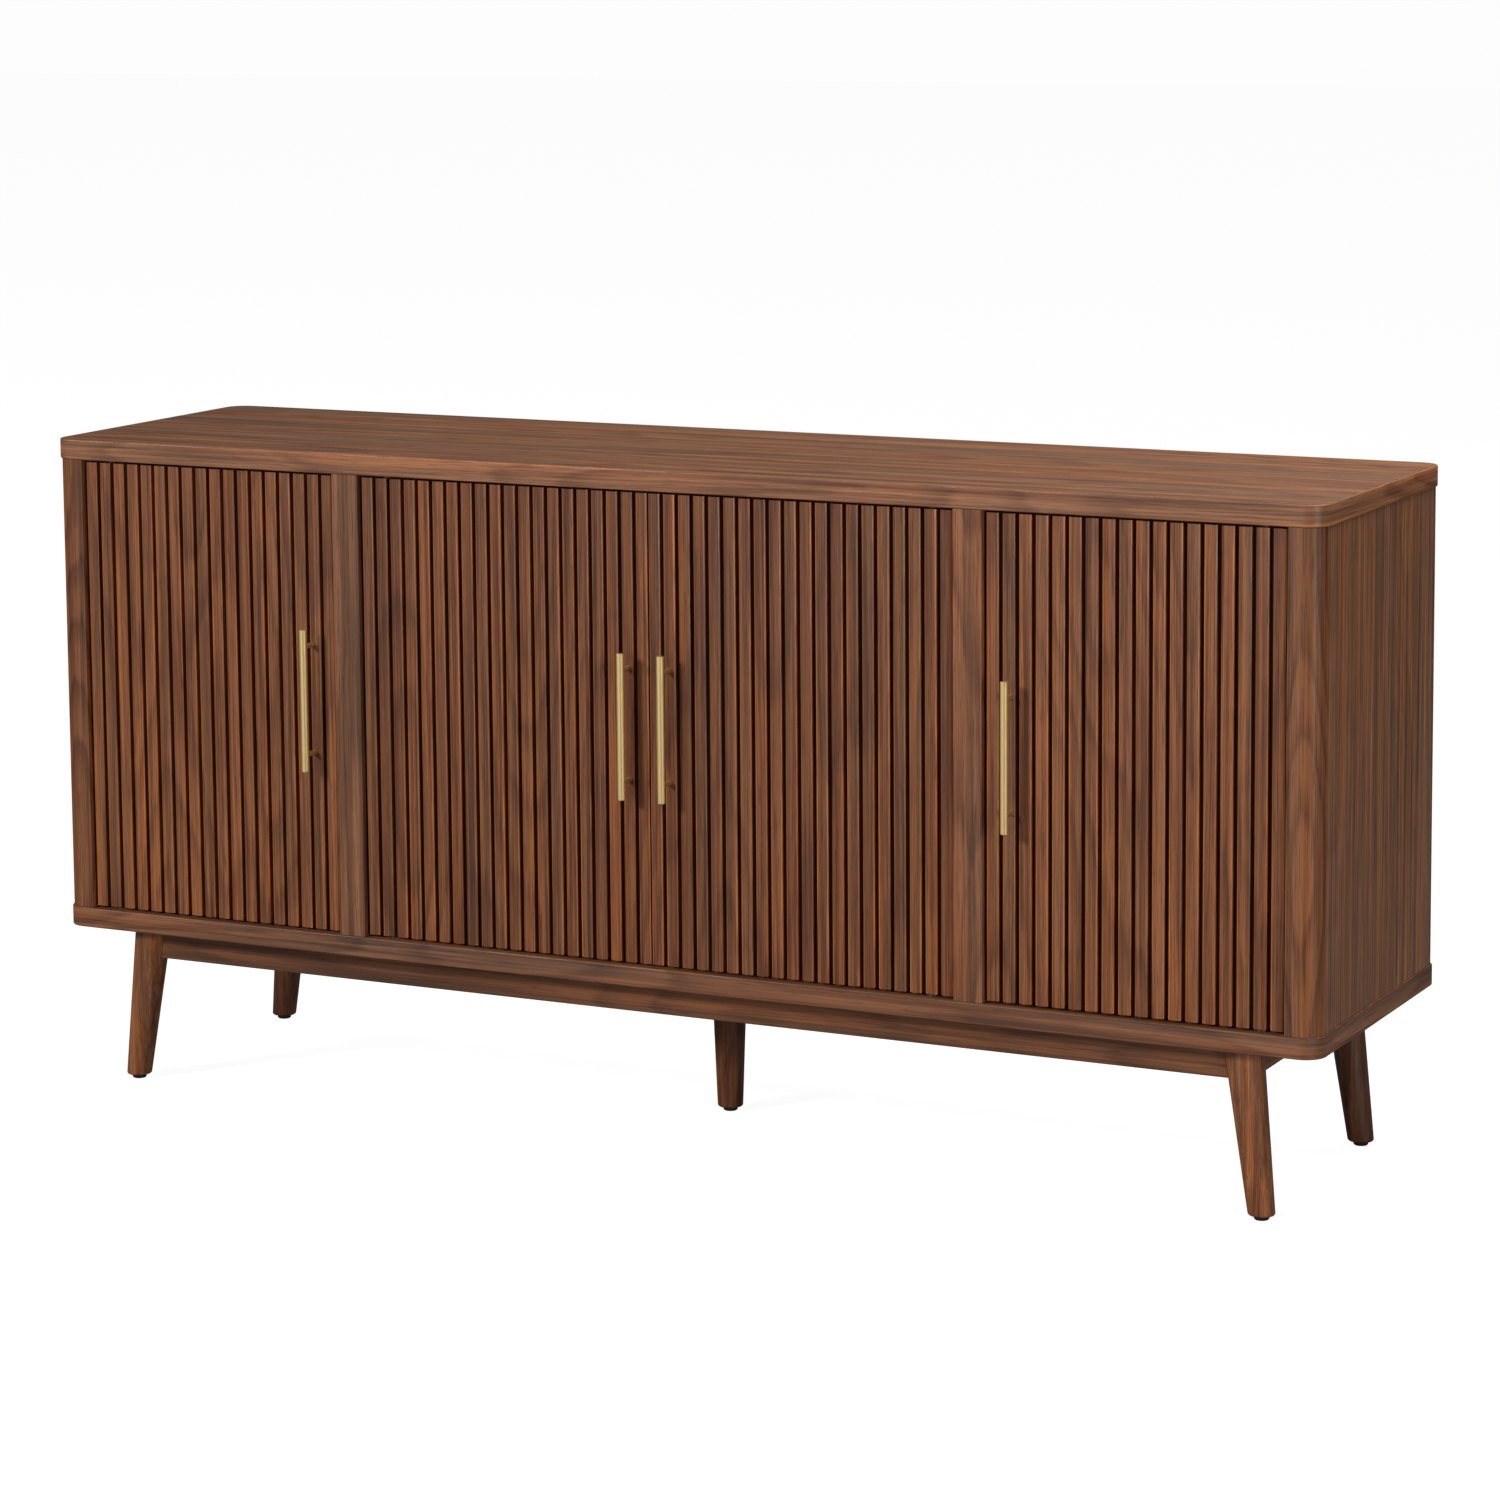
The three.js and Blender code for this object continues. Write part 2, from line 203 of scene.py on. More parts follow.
def walnut(name, **changes):
    look = {**walnutLook, **changes}
    warm, cool = (tinted(look[family], look["tint"]) for family in ("warm", "cool"))
    material, tree, shader = newMaterial(name)
    if look["uv"]:
        coords = addNode(tree, "ShaderNodeUVMap", uv_map=look["uv"]).outputs[0]
    else:
        coords = addNode(tree, "ShaderNodeTexCoord").outputs["Object"]
    board = addNode(tree, "ShaderNodeAttribute", attribute_name="board").outputs["Fac"]
    place = vectorMaths(tree, "MULTIPLY_ADD", board, look["boardShift"], coords)

    def grainNoise(vector, scale, detail, rough=0.5):
        across, along = scale
        size = tuple(along if axis == look["grain"] else across for axis in "XYZ")
        scaled = vectorMaths(tree, "MULTIPLY", vector, size)
        inputs = {"Vector": scaled, "Scale": 1.0, "Detail": detail, "Roughness": rough}
        return addNode(tree, "ShaderNodeTexNoise", inputs)

    drift = grainNoise(place, look["sway"], 2.0).outputs["Color"]
    bend = tuple(0.0 if axis == look["grain"] else look["swayBy"] for axis in "XYZ")
    bent = vectorMaths(tree, "MULTIPLY_ADD", drift, bend, place)
    figure = grainNoise(coords if look["matched"] else bent, look["figure"], 1.0).outputs["Fac"]
    heart = grainNoise(bent, look["heart"], 2.0).outputs["Fac"]
    streak = grainNoise(bent, look["streak"], *look["streakDetail"]).outputs["Fac"]
    fibre = grainNoise(bent, look["fibre"], *look["fibreDetail"]).outputs["Fac"]
    pore = grainNoise(bent, look["pore"], 0.0).outputs["Fac"]

    ragged = maths(tree, "MULTIPLY", streak, look["ringRagged"])
    ringPhase = maths(tree, "FRACT", maths(tree, "MULTIPLY_ADD", figure, look["rings"], ragged))
    tone = maths(tree, "MULTIPLY", ramp(tree, ringPhase, look["ringStops"]), look["ringShare"])
    streakTone = remap(tree, streak, *look["streakRange"], 0.0, 1.0)
    tone = maths(tree, "MULTIPLY_ADD", streakTone, look["streakShare"], tone)
    fibreTone = remap(tree, fibre, *look["fibreRange"], 0.0, 1.0)
    tone = maths(tree, "MULTIPLY_ADD", fibreTone, look["fibreShare"], tone)
    warmth = remap(tree, heart, *look["heartRange"], 0.0, 1.0)

    def varied(value, seed, amount):
        draw = maths(tree, "FRACT", maths(tree, "MULTIPLY", board, seed))
        return maths(tree, "ADD", value, remap(tree, draw, 0.0, 1.0, -amount, amount))

    if look["boardTone"]:
        tone = varied(tone, look["toneSeed"], look["boardTone"])
        warmth = varied(warmth, look["warmthSeed"], look["boardWarmth"])
    colour = mixColours(tree, warmth, ramp(tree, tone, cool), ramp(tree, tone, warm))

    poreMask = remap(tree, pore, *look["poreRange"], 0.0, 1.0)
    darkest = tuple(c * look["poreShade"] for c in cool[0][1])
    poreShare = maths(tree, "MULTIPLY", poreMask, look["poreDepth"])
    colour = mixColours(tree, poreShare, colour, (*darkest, 1))
    tree.links.new(colour, shader.inputs["Base Color"])
    roughest = look["roughness"] + look["roughnessSpread"] / 2
    smoothest = look["roughness"] - look["roughnessSpread"] / 2
    roughness = remap(tree, fibre, 0.3, 0.7, roughest, smoothest)
    relief = maths(tree, "MULTIPLY_ADD", poreMask, look["poreRelief"], fibreTone)
    return finishSurface(tree, shader, material, roughness, relief, look)


walnutX = walnut("walnutX", grain="X")
walnutY = walnut("walnutY", grain="Y")
walnutZ = walnut("walnutZ")
# The top's wood is tinted greyer: a painted sheen from light glancing off the top
walnutTopSheen = walnut("walnutTopSheen", grain="X", tint=(1.04, 1.2, 1.4), ringShare=0.26, streakShare=0.38)
# Side panels: their own finer streaks and broad stripes, and a lighter, greyer tint as painted light and
# sheen
walnutSideLit = walnut(
    "walnutSideLit", tint=(1.34, 1.54, 1.80), heart=(80.0, 1.0), streak=(190.0, 1.1),
    streakShare=0.38, ringShare=0.16,
)
# The top panel's edge wood is tinted lighter than the base panel's: painted light from above
walnutTopEdgeLit = walnut("walnutTopEdgeLit", grain="X", uv="edgeRun", tint=(1.22, 1.25, 1.3))
walnutBaseEdge = walnut("walnutBaseEdge", grain="X", uv="edgeRun", tint=(0.92, 0.9, 0.92))
slatWood = {
    "matched": True,
    "boardTone": 0.05,
    "boardWarmth": 0.12,
    "rings": 12.0,
    "streak": (230.0, 1.3),
    "heart": (110.0, 1.2),
    "streakShare": 0.5,
    "roughness": 0.42,
    "tint": (0.90, 0.81, 0.64),
}
walnutOuterSlat = walnut("walnutOuterSlat", **slatWood)
walnutMiddleSlat = walnut("walnutMiddleSlat", **{**slatWood, "tint": (0.75, 0.66, 0.50)})
# Lighter, glossier wood for the slats' front chamfers: a painted highlight along the slat edges
walnutArrisHighlight = walnut("walnutArrisHighlight", **{**slatWood, "tint": (1.75, 1.6, 1.45), "roughness": 0.3})
walnutPost = walnut("walnutPost", tint=(0.78, 0.74, 0.67), rings=16.0, ringShare=0.46)
# Front legs: their own grain, with a lighter tint as painted light
walnutLeg = walnut(
    "walnutLeg", tint=(1.46, 1.44, 1.34), heart=(60.0, 1.0), streakShare=0.34, ringShare=0.22,
)
# Darker tint for the aprons and brace under the case: painted shade
walnutUnderShadeX = walnut("walnutUnderShadeX", grain="X", tint=(0.62, 0.56, 0.45))
walnutUnderShadeY = walnut("walnutUnderShadeY", grain="Y", tint=(0.62, 0.56, 0.45))
# Darker tint for the rear and middle legs: painted shade under the case
walnutInnerLeg = walnut("walnutInnerLeg", tint=(0.48, 0.43, 0.36))
# Near-black red-brown wood for the groove bottoms between slats: painted shade, standing in for the
# shade deep in the recesses
walnutGroovePaintedShade = walnut(
    "walnutGroovePaintedShade", warm=[(0.2, (0.030, 0.004, 0.001)), (0.8, (0.080, 0.015, 0.003))],
    cool=[(0.2, (0.022, 0.004, 0.001)), (0.8, (0.060, 0.013, 0.004))], roughness=0.8,
)


# Metal and plastic

metalLook = {
    "range": (0.3, 0.65),
    "detail": 3.0,
    "rougher": 0.07,
    "smoother": 0.04,
    "bump": 0.00002,
    "bumpStrength": 0.5,
}
brassLook = {
    **metalLook,
    "bright": (0.98, 0.76, 0.37),
    "dull": (0.90, 0.66, 0.29),
    "roughness": 0.50,
    "lines": (900.0, 900.0, 30.0),
}
steelLook = {
    **metalLook,
    "bright": (0.13, 0.13, 0.125),
    "dull": (0.085, 0.085, 0.08),
    "roughness": 0.40,
    "lines": (700.0, 700.0, 900.0),
}
plasticLook = {
    "range": (0.35, 0.65),
    "detail": 2.0,
    "bright": (0.020, 0.020, 0.021),
    "dull": (0.013, 0.013, 0.013),
    "roughness": 0.55,
    "rougher": 0.1,
    "smoother": 0.1,
    "grain": 1400.0,
    "bump": 0.00003,
    "bumpStrength": 0.4,
}


def brushedMetal(name, look):
    material, tree, shader = newMaterial(name)
    coords = addNode(tree, "ShaderNodeTexCoord").outputs["Object"]
    scaled = vectorMaths(tree, "MULTIPLY", coords, look["lines"])
    inputs = {"Vector": scaled, "Scale": 1.0, "Detail": look["detail"]}
    lines = addNode(tree, "ShaderNodeTexNoise", inputs).outputs["Fac"]
    low, high = look["range"]
    shade = ramp(tree, lines, [(low, look["dull"]), (high, look["bright"])])
    tree.links.new(shade, shader.inputs["Base Color"])
    rough, smooth = look["roughness"] + look["rougher"], look["roughness"] - look["smoother"]
    roughness = remap(tree, lines, 0.3, 0.7, rough, smooth)
    shader.inputs["Metallic"].default_value = 1.0
    return finishSurface(tree, shader, material, roughness, lines, look)


def mouldedPlastic(name, look):
    material, tree, shader = newMaterial(name)
    coords = addNode(tree, "ShaderNodeTexCoord").outputs["Object"]
    inputs = {"Vector": coords, "Scale": look["grain"], "Detail": look["detail"]}
    speck = addNode(tree, "ShaderNodeTexNoise", inputs).outputs["Fac"]
    low, high = look["range"]
    shade = ramp(tree, speck, [(low, look["dull"]), (high, look["bright"])])
    tree.links.new(shade, shader.inputs["Base Color"])
    smooth, rough = look["roughness"] - look["smoother"], look["roughness"] + look["rougher"]
    roughness = remap(tree, speck, 0.3, 0.7, smooth, rough)
    return finishSurface(tree, shader, material, roughness, speck, look)


brass = brushedMetal("brass", brassLook)
steel = brushedMetal("steel", steelLook)
blackPlastic = mouldedPlastic("blackPlastic", plasticLook)
print("materials ready")


# Building helpers

tolerance = 1e-6
looseTolerance = 1e-5


def finishMesh(piece, crease):
    piece.data.shade_smooth()
    piece.data.set_sharp_from_angle(angle=math.radians(crease))
    modifier = piece.modifiers.new("evenNormals", "WEIGHTED_NORMAL")
    modifier.keep_sharp = True


def meshObject(name, bm, *materials):
    mesh = bpy.data.meshes.new(name)
    bm.to_mesh(mesh)
    bm.free()
    for material in materials:
        mesh.materials.append(material)
    made = bpy.data.objects.new(name, mesh)
    scene.collection.objects.link(made)
    return made


def addPiece(piece, body, slotName, *nodes, crease=50):
    finishMesh(piece, crease)
    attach(piece, body)
    if nodes:
        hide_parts(*nodes)
    return piece


def combine(piece, operation, tools):
    for tool in tools:
        modifier = piece.modifiers.new("cut", "BOOLEAN")
        modifier.operation = operation
        modifier.solver = "EXACT"
        modifier.object = tool
    bpy.context.view_layer.update()
    graph = bpy.context.evaluated_depsgraph_get()
    result = bpy.data.meshes.new_from_object(
        piece.evaluated_get(graph), preserve_all_data_layers=True, depsgraph=graph,
    )
    piece.modifiers.clear()
    piece.data = result
    for tool in tools:
        bpy.data.objects.remove(tool)


def addBlock(bm, low, high):
    size = Vector(high) - Vector(low)
    middle = (Vector(high) + Vector(low)) / 2
    matrix = Matrix.Translation(middle) @ Matrix.Diagonal((*size, 1))
    bmesh.ops.create_cube(bm, size=1, matrix=matrix)


def addRod(bm, start, end, radius, segments=32, endRadius=None):
    # A round bar from start to end, which may taper
    start, end = Vector(start), Vector(end)
    line = end - start
    turn = line.to_track_quat("Z", "Y").to_matrix().to_4x4()
    bmesh.ops.create_cone(
        bm, cap_ends=True, segments=segments, radius1=radius,
        radius2=radius if endRadius is None else endRadius,
        depth=line.length, matrix=Matrix.Translation((start + end) / 2) @ turn,
    )


def bevelEdges(bm, edges, offset, segments):
    bmesh.ops.bevel(
        bm, geom=edges, offset=offset, segments=segments, profile=0.5,
        affect="EDGES", material=-1, clamp_overlap=False,
    )


def isUpright(edge):
    a, b = (v.co for v in edge.verts)
    return (a.xy - b.xy).length < tolerance


def sharpEdges(bm, degrees=60):
    limit = math.radians(degrees)
    return [e for e in bm.edges if len(e.link_faces) == 2 and e.calc_face_angle() > limit]


def centreOf(edgeOrFace):
    return sum((v.co for v in edgeOrFace.verts), Vector()) / len(edgeOrFace.verts)


def markBoards(bm, choose):
    layer = bm.faces.layers.float.new("board")
    for face in bm.faces:
        face[layer] = choose(face)


def turned(name, profile, place, material, steps=32):
    # A piece turned about the upright line through place, from (radius, height) points
    bm = bmesh.new()
    x, y = place
    verts = [bm.verts.new((x + radius, y, height)) for radius, height in profile]
    edges = [bm.edges.new(pair) for pair in zip(verts, verts[1:])]
    if profile[0][0] > 0:
        edges.append(bm.edges.new((verts[-1], verts[0])))
    bmesh.ops.spin(
        bm, geom=verts + edges, cent=(x, y, 0), axis=(0, 0, 1), steps=steps,
        angle=2 * math.pi, use_merge=True,
    )
    bmesh.ops.remove_doubles(bm, verts=bm.verts, dist=tolerance)
    bmesh.ops.recalc_face_normals(bm, faces=bm.faces)
    return meshObject(name, bm, material)


doorNames = ["left_door", "middle_left_door", "middle_right_door", "right_door"]
caseMiddle = sum((p.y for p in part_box("top_panel"))) / 2


# Top and base panels

panelLook = {
    "corner": 0.025,
    "cornerSegments": 16,
    "ease": 0.0016,
    "bushBore": 0.0053,
    "boreDepth": 0.012,
    "boreOverrun": 0.01,
}


def perimeterRun(point, half, radius):
    # Distance walked round a rounded rectangle, from the middle of its rear edge
    x, y = abs(point.x), abs(point.y)
    straightX, straightY = half.x - radius, half.y - radius
    quarter = straightX + radius * math.pi / 2 + straightY
    if x < straightX:
        run = x
    elif y < straightY:
        run = quarter - y
    else:
        run = straightX + radius * math.atan2(x - straightX, y - straightY)
    if point.y < 0:
        run = 2 * quarter - run
    return run if point.x >= 0 else 4 * quarter - run


def roundedPanel(node, boreSide, board, faceWood, edgeWood):
    look = panelLook
    low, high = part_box(node)
    bm = bmesh.new()
    addBlock(bm, low, high)
    bevelEdges(bm, [e for e in bm.edges if isUpright(e)], look["corner"], look["cornerSegments"])
    bevelEdges(bm, sharpEdges(bm), look["ease"], 3)
    markBoards(bm, lambda face: board)
    middle, half = (low + high) / 2, (high - low) / 2
    whole = 4 * (half.x + half.y - 2 * look["corner"] + look["corner"] * math.pi / 2)
    uv = bm.loops.layers.uv.new("edgeRun")
    for face in bm.faces:
        if abs(face.normal.z) > 0.8:
            continue
        face.material_index = 1
        runs = [perimeterRun(loop.vert.co - middle, half, look["corner"]) for loop in face.loops]
        wraps = max(runs) - min(runs) > whole / 2
        for loop, run in zip(face.loops, runs):
            loop[uv].uv = (run - whole if wraps and run > whole / 2 else run, loop.vert.co.z)
    piece = meshObject(node + "_wood", bm, faceWood, edgeWood)
    bores = []
    for door in doorNames:
        axis = sum(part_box(door + "_upper_pin"), Vector()) / 2
        face = Vector((axis.x, axis.y, low.z if boreSide < 0 else high.z))
        inner = face - Vector((0, 0, boreSide * look["boreDepth"]))
        outer = face + Vector((0, 0, boreSide * look["boreOverrun"]))
        tool = bmesh.new()
        addRod(tool, inner, outer, look["bushBore"])
        bores.append(meshObject("bore", tool))
    combine(piece, "DIFFERENCE", bores)
    addPiece(piece, "case", "walnut", node)


# The top panel takes the wood with painted sheen on its faces and the lighter edge wood with painted
# light
roundedPanel("top_panel", -1, 0.31, walnutTopSheen, walnutTopEdgeLit)
roundedPanel("base_panel", 1, 0.77, walnutX, walnutBaseEdge)
print("top and base panels ready")


# Posts, side panels, dividers, back and shelves

uprightLook = {"postCorner": 0.023, "cornerSegments": 12, "ease": 0.0006, "shelfEase": 0.0012}


def boardPiece(node, material, slotName, board, ease=uprightLook["ease"], body="case"):
    bm = bmesh.new()
    addBlock(bm, *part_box(node))
    bevelEdges(bm, list(bm.edges), ease, 2)
    markBoards(bm, lambda face: board)
    return addPiece(meshObject(node + "_wood", bm, material), body, slotName, node)


def cornerPost(node, board):
    look = uprightLook
    low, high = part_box(node)
    middle = (low + high) / 2
    bm = bmesh.new()
    addBlock(bm, low, high)

    def isOuter(edge):
        offset = centreOf(edge) - middle
        return isUpright(edge) and offset.x * middle.x > 0 and offset.y * (middle.y - caseMiddle) > 0

    bevelEdges(bm, [e for e in bm.edges if isOuter(e)], look["postCorner"], look["cornerSegments"])
    bevelEdges(bm, sharpEdges(bm), look["ease"], 2)
    markBoards(bm, lambda face: board)
    addPiece(meshObject(node + "_wood", bm, walnutPost), "case", "walnut", node)


for side in ["left", "right"]:
    for end in ["front", "rear"]:
        cornerPost(f"{side}_{end}_post", rng.random())
    # The side panels take the wood with painted light and sheen
    boardPiece(f"{side}_side_panel", walnutSideLit, "walnut", rng.random())
    boardPiece(f"{side}_divider", walnutZ, "walnut", rng.random())
boardPiece("back_panel", walnutX, "inside_walnut", rng.random())
for bay in ["left", "middle", "right"]:
    boardPiece(bay + "_shelf", walnutX, "walnut", rng.random(), uprightLook["shelfEase"])
print("case ready")


# Doors: boards and slats

doorLook = {
    "slats": {"left_door": 18, "middle_left_door": 20, "middle_right_door": 20, "right_door": 18},
    "gap": 0.005,
    "depth": 0.007,
    "sheet": 0.001,
    "chamfer": 0.0014,
    "pinBore": 0.0028,
    "pinBoreDepth": 0.026,
    "boreOverrun": 0.01,
    "boardEase": 0.0005,
}


def slattedFacing(door):
    look = doorLook
    low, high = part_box(door + "_slats")
    count = look["slats"][door]
    width = (high.x - low.x - (count - 1) * look["gap"]) / count
    pitch = width + look["gap"]
    bm = bmesh.new()
    addBlock(bm, (low.x, high.y - look["sheet"], low.z), high)
    for i in range(1, count):
        for x in (low.x + i * pitch - look["gap"], low.x + i * pitch):
            everything = list(bm.verts) + list(bm.edges) + list(bm.faces)
            bmesh.ops.bisect_plane(bm, geom=everything, plane_co=(x, 0, 0), plane_no=(1, 0, 0))

    def slatAt(face):
        return int((centreOf(face).x - low.x) // pitch)

    def isSlat(face):
        return (centreOf(face).x - low.x) % pitch < width

    fronts = [f for f in bm.faces if f.normal.y < -0.9 and isSlat(f)]
    raised = bmesh.ops.extrude_discrete_faces(bm, faces=fronts)["faces"]
    raisedVerts = list({v for f in raised for v in f.verts})
    bmesh.ops.translate(bm, vec=(0, -look["depth"], 0), verts=raisedVerts)
    bmesh.ops.recalc_face_normals(bm, faces=bm.faces)
    arrises = [e for e in {e for f in raised for e in f.edges} if isUpright(e)]
    bevelEdges(bm, arrises, look["chamfer"], 1)
    boards = [rng.random() for _ in range(count)]
    markBoards(bm, lambda face: boards[min(slatAt(face), count - 1)])
    for face in bm.faces:
        # Groove bottoms get the wood with painted shade
        if face.normal.y < -0.9 and centreOf(face).y > low.y + look["depth"] / 2:
            face.material_index = 1
        # The front chamfers get the wood with the painted highlight
        elif face.normal.y < -0.3 and abs(face.normal.x) > 0.3:
            face.material_index = 2
    slatWalnut = walnutMiddleSlat if "middle" in door else walnutOuterSlat
    piece = meshObject(door + "_slatting", bm, slatWalnut, walnutGroovePaintedShade, walnutArrisHighlight)
    addPiece(piece, door, "slat_walnut", door + "_slats", crease=30)


def doorBoard(door, board):
    look = doorLook
    low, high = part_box(door + "_board")
    bm = bmesh.new()
    addBlock(bm, low, high)
    bevelEdges(bm, list(bm.edges), look["boardEase"], 2)
    markBoards(bm, lambda face: board)
    piece = meshObject(door + "_board_wood", bm, walnutZ)
    bores = []
    for end, z, inward in [("lower", low.z, 1), ("upper", high.z, -1)]:
        axis = sum(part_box(f"{door}_{end}_pin"), Vector()) / 2
        tool = bmesh.new()
        outer = (axis.x, axis.y, z - inward * look["boreOverrun"])
        inner = (axis.x, axis.y, z + inward * look["pinBoreDepth"])
        addRod(tool, outer, inner, look["pinBore"])
        bores.append(meshObject("bore", tool))
    combine(piece, "DIFFERENCE", bores)
    addPiece(piece, door, "inside_walnut", door + "_board")


for door in doorNames:
    slattedFacing(door)
    doorBoard(door, rng.random())
print("doors ready")


# Handles

handleLook = {
    "barRadius": 0.0045,
    "barSegments": 40,
    "barEase": 0.0007,
    "stubRadius": 0.003,
    "stubSpacing": 0.128,
    "screwRadius": 0.0042,
    "screwHeight": 0.0022,
}
screwLook = {"segments": 24, "ease": 0.6, "slotReach": 0.62, "slotWidth": 0.16}  # shares of its size


def isRing(edge, z):
    return all(abs(v.co.z - z) < looseTolerance for v in edge.verts)


def barHandle(door):
    look = handleLook
    low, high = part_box(door + "_handle")
    x, barY = (low.x + high.x) / 2, low.y + look["barRadius"]
    bm = bmesh.new()
    addRod(bm, (x, barY, low.z), (x, barY, high.z), look["barRadius"], look["barSegments"])
    rims = [e for e in bm.edges if isRing(e, low.z) or isRing(e, high.z)]
    bevelEdges(bm, rims, look["barEase"], 3)
    bar = meshObject(door + "_pull", bm, brass)
    stubs = []
    heights = [(low.z + high.z) / 2 + end * look["stubSpacing"] / 2 for end in (-1, 1)]
    for z in heights:
        tool = bmesh.new()
        addRod(tool, (x, barY, z), (x, high.y, z), look["stubRadius"])
        stubs.append(meshObject("stub", tool, brass))
    combine(bar, "UNION", stubs)
    addPiece(bar, door, "brass", door + "_handle")
    return x, heights


def panHead(name, centre, facing, radius, height):
    # Screw head with a cross slot, standing on a face at centre
    look = screwLook
    facing = Vector(facing)
    bm = bmesh.new()
    tip = Vector(centre) + facing * height
    addRod(bm, centre, tip, radius, look["segments"])
    top = [e for e in bm.edges if all((v.co - tip).dot(facing) > -looseTolerance for v in e.verts)]
    bevelEdges(bm, top, height * look["ease"], 3)
    head = meshObject(name, bm, steel)
    slots = []
    reach = 2 * radius * look["slotReach"]
    turn = facing.to_track_quat("Z", "Y").to_matrix().to_4x4()
    for wide, tall in [(1, look["slotWidth"]), (look["slotWidth"], 1)]:
        tool = bmesh.new()
        scale = Matrix.Diagonal((reach * wide, reach * tall, height, 1))
        bmesh.ops.create_cube(tool, size=1, matrix=Matrix.Translation(tip) @ turn @ scale)
        slots.append(meshObject("slot", tool))
    combine(head, "DIFFERENCE", slots)
    return head


for door in doorNames:
    look = handleLook
    x, heights = barHandle(door)
    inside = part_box(door + "_board")[1].y
    for label, z in zip(["lower", "upper"], heights):
        name, centre = f"{door}_handle_{label}_screw", (x, inside, z)
        head = panHead(name, centre, (0, 1, 0), look["screwRadius"], look["screwHeight"])
        addPiece(head, door, "steel")
print("handles ready")


# Pivots: steel pins in the doors, bushes in the panels

pivotLook = {
    "pin": 0.0025,
    "pinInDoor": 0.025,
    "washer": 0.0055,
    "washerHeight": 0.0016,
    "pinTip": 0.0006,
    "bush": 0.005,
    "bushBore": 0.0029,
    "flange": 0.007,
    "flangeHeight": 0.001,
    "flangeEase": 0.0003,
}


def pivotPair(door, end, up):
    look = pivotLook
    low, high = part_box(f"{door}_{end}_pin")
    place = ((low.x + high.x) / 2, (low.y + high.y) / 2)
    inDoor, tip = (low.z, high.z) if up > 0 else (high.z, low.z)
    edge = inDoor + up * look["pinInDoor"]
    profile = [
        (0, inDoor),
        (look["pin"], inDoor),
        (look["pin"], edge),
        (look["washer"], edge),
        (look["washer"], edge + up * look["washerHeight"]),
        (look["pin"], edge + up * look["washerHeight"]),
        (look["pin"], tip - up * look["pinTip"]),
        (look["pin"] - look["pinTip"], tip),
        (0, tip),
    ]
    pivot = turned(f"{door}_{end}_pivot", profile, place, steel)
    addPiece(pivot, door, "steel", f"{door}_{end}_pin")
    low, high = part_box(f"{door}_{end}_bush")
    lip, deep = (low.z, high.z) if up > 0 else (high.z, low.z)
    profile = [
        (look["bushBore"], lip),
        (look["flange"] - look["flangeEase"], lip),
        (look["flange"], lip + up * look["flangeEase"]),
        (look["flange"], lip + up * look["flangeHeight"]),
        (look["bush"], lip + up * look["flangeHeight"]),
        (look["bush"], deep),
        (look["bushBore"], deep),
    ]
    sleeve = turned(f"{door}_{end}_sleeve", profile, place, steel)
    addPiece(sleeve, "case", "steel", f"{door}_{end}_bush")


for door in doorNames:
    pivotPair(door, "lower", -1)
    pivotPair(door, "upper", 1)
print("pivots ready")


# Legs, aprons and brace

legLook = {
    "segments": 64,
    "topRadius": 0.022,
    "footRadius": 0.015,
    "footEase": 0.0025,
    "splay": (0.024, 0.005),
    "apronFit": 0.0003,
    "apronEase": 0.001,
    "apronOverrun": 0.01,
    "braceEase": 0.001,
    "glideEase": 0.0012,
}


def legShape(node, grow=0.0, rise=0.0):
    look = legLook
    low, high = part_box(node)
    splayed = node != "middle_leg"
    signX = math.copysign(1, low.x + high.x) if splayed else 0
    signY = math.copysign(1, low.y + high.y - 2 * caseMiddle) if splayed else 0
    radius = look["topRadius"]
    topX = (low.x + radius if signX > 0 else high.x - radius) if splayed else (low.x + high.x) / 2
    topY = (low.y + radius if signY > 0 else high.y - radius) if splayed else (low.y + high.y) / 2
    taper = (radius - look["footRadius"]) / (legTop - low.z)
    top = high.z + rise
    topRadius = look["footRadius"] + taper * (top - low.z)
    bm = bmesh.new()
    addRod(bm, (0, 0, low.z), (0, 0, top), look["footRadius"] + grow, look["segments"], topRadius + grow)
    bevelEdges(bm, [e for e in bm.edges if isRing(e, low.z)], look["footEase"], 4)
    lean = Matrix.Identity(4)
    lean[0][2], lean[0][3] = -signX * look["splay"][0] / legTop, signX * look["splay"][0]
    lean[1][2], lean[1][3] = -signY * look["splay"][1] / legTop, signY * look["splay"][1]
    bmesh.ops.transform(bm, matrix=Matrix.Translation((topX, topY, 0)) @ lean, verts=bm.verts)
    return bm


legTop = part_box("base_panel")[0].z
cornerLegs = [f"{side}_{end}_leg" for side in ("left", "right") for end in ("front", "rear")]
for node in [*cornerLegs, "middle_leg"]:
    bm = legShape(node)
    board = rng.random()
    markBoards(bm, lambda face: board)
    # Rear and middle legs get a darker wood tint as painted shade under the case, and the front legs a
    # lighter tint as painted light
    wood = walnutLeg if "front" in node else walnutInnerLeg
    addPiece(meshObject(node + "_wood", bm, wood), "case", "walnut", node)
    glide = node.replace("leg", "glide")
    low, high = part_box(glide)
    centre = (low + high) / 2
    ease = legLook["glideEase"]
    outer = (high.x - low.x) / 2
    profile = [(0, low.z), (outer - ease, low.z), (outer, low.z + ease), (outer, high.z), (0, high.z)]
    addPiece(turned(glide + "_foot", profile, centre.xy, blackPlastic), "case", "black_plastic", glide)

